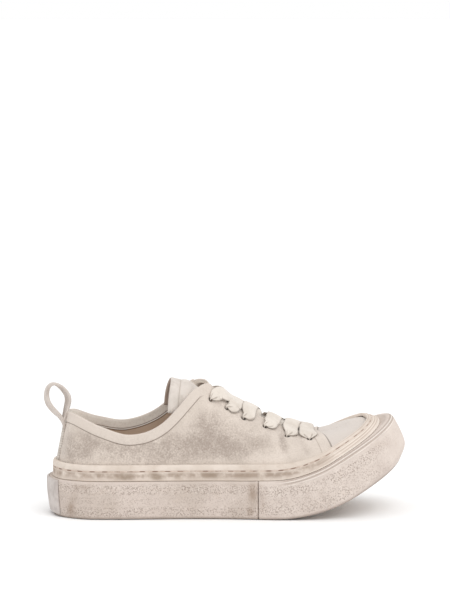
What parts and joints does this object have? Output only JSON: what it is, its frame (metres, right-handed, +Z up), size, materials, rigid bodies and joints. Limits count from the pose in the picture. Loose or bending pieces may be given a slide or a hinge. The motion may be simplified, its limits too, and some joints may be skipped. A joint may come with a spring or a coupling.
{
  "type": "low-top sneaker",
  "caption": "Worn low-top lace-up sneaker with a thick rubber cup sole, turned-up toe, stitched rand, flat laces, tongue and heel pull loop.",
  "frame": {"origin": "centre of the shoe's footprint, on the floor it stands on", "axes": "+X from the heel to the toe, +Y to the inner (big-toe) side of the right foot, +Z up"},
  "size_m": [0.2991, 0.1097, 0.1119],
  "materials": {
    "tread": "matte",
    "rubber": "matte",
    "suede": "brushed",
    "canvas": "matte",
    "lace": "matte",
    "tape": "matte"
  },
  "bodies": {
    "root": {"outsole": "tread", "sole": "rubber", "toe_bumper": "rubber", "heel_plate": "rubber", "rand": "rubber", "upper": "suede", "tongue": "canvas", "insole": "canvas", "laces": "lace", "pull_loop": "tape"}
  },
  "joints": []
}
